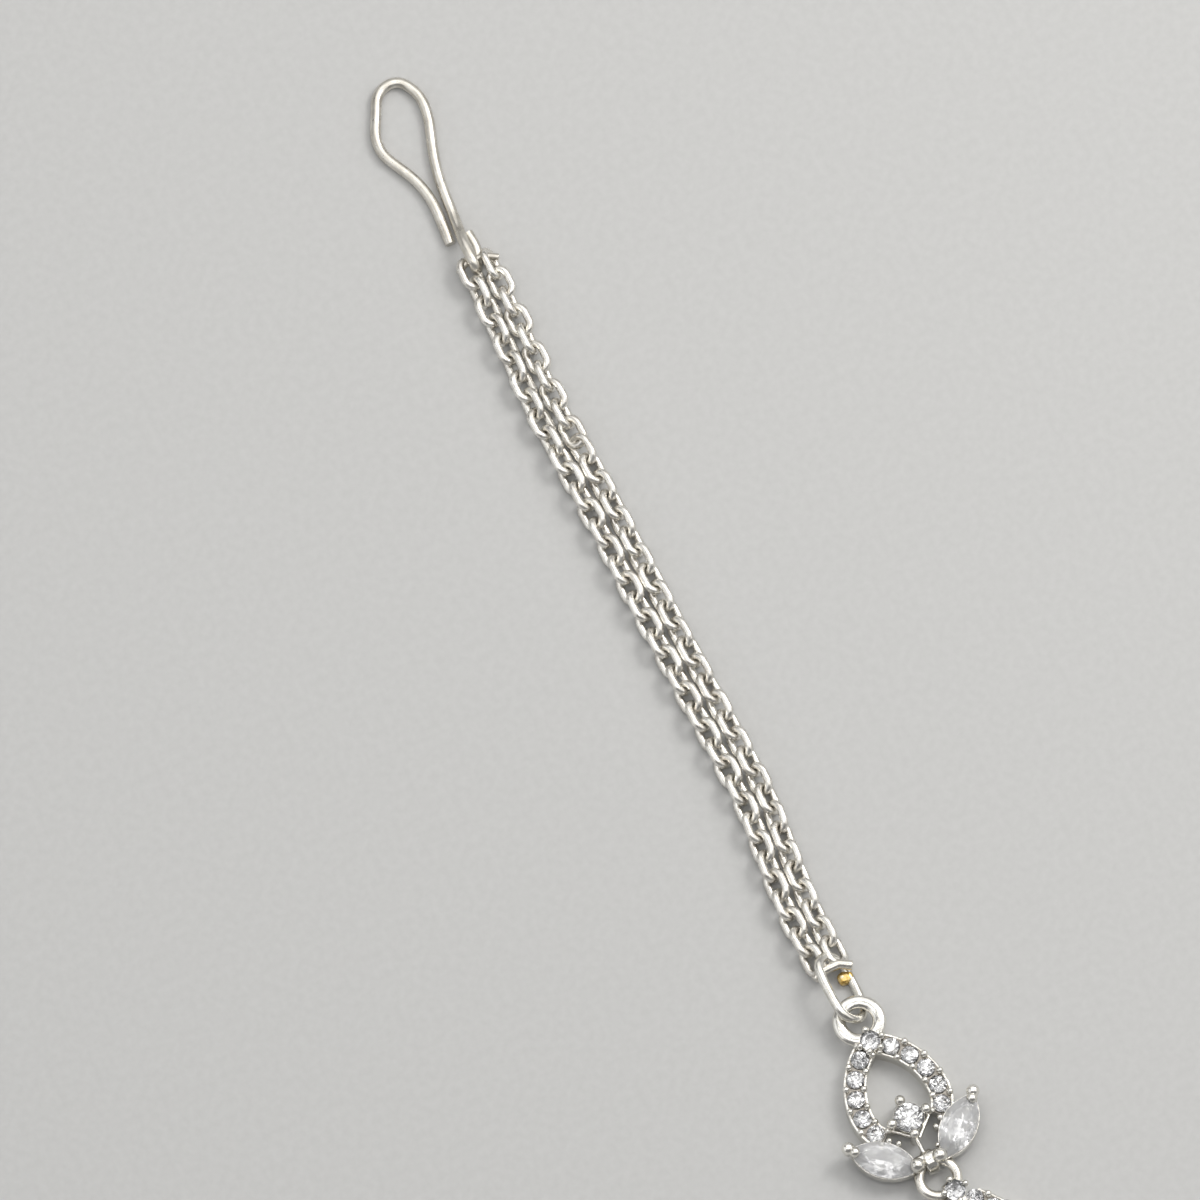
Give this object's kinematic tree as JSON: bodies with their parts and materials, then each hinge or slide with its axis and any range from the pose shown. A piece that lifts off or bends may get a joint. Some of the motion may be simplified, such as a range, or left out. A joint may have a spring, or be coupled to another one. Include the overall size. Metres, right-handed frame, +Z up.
{
  "type": "maang tikka",
  "caption": "Forehead jewel: wire hair hook, cable chain, oval jump ring, paved pear motif with round and marquise stones, and a paved pear pendant on a link ring.",
  "frame": {"origin": "centre of the bounding box on the surface that the jewel lies on; X = 0 is the axis of the paved motif", "axes": "+Y along the chain towards the hair hook, +X to the right, +Z up out of the stones' faces"},
  "size_m": [0.0146, 0.1402, 0.0035],
  "materials": {
    "silver_wire": "bright silver plate on drawn wire",
    "silver_chain": "bright silver plate on chain links",
    "jump_ring_plate": "silver plate, worn to brass at the joint",
    "silver_casting": "bright silver plate on a casting",
    "clear_stone": "clear faceted stone",
    "milky_stone": "slightly milky clear faceted stone"
  },
  "bodies": {
    "root": {"hook": "silver_wire", "upper_end_bar": "silver_wire", "chain_strand_left": "silver_chain", "chain_strand_right": "silver_chain", "lower_end_bar": "silver_wire", "jump_ring": "jump_ring_plate", "motif_frame": "silver_casting", "round_stone": "clear_stone", "marquise_stone_left": "milky_stone", "marquise_stone_right": "milky_stone", "link_ring": "silver_wire", "pendant_frame": "silver_casting"}
  },
  "joints": []
}
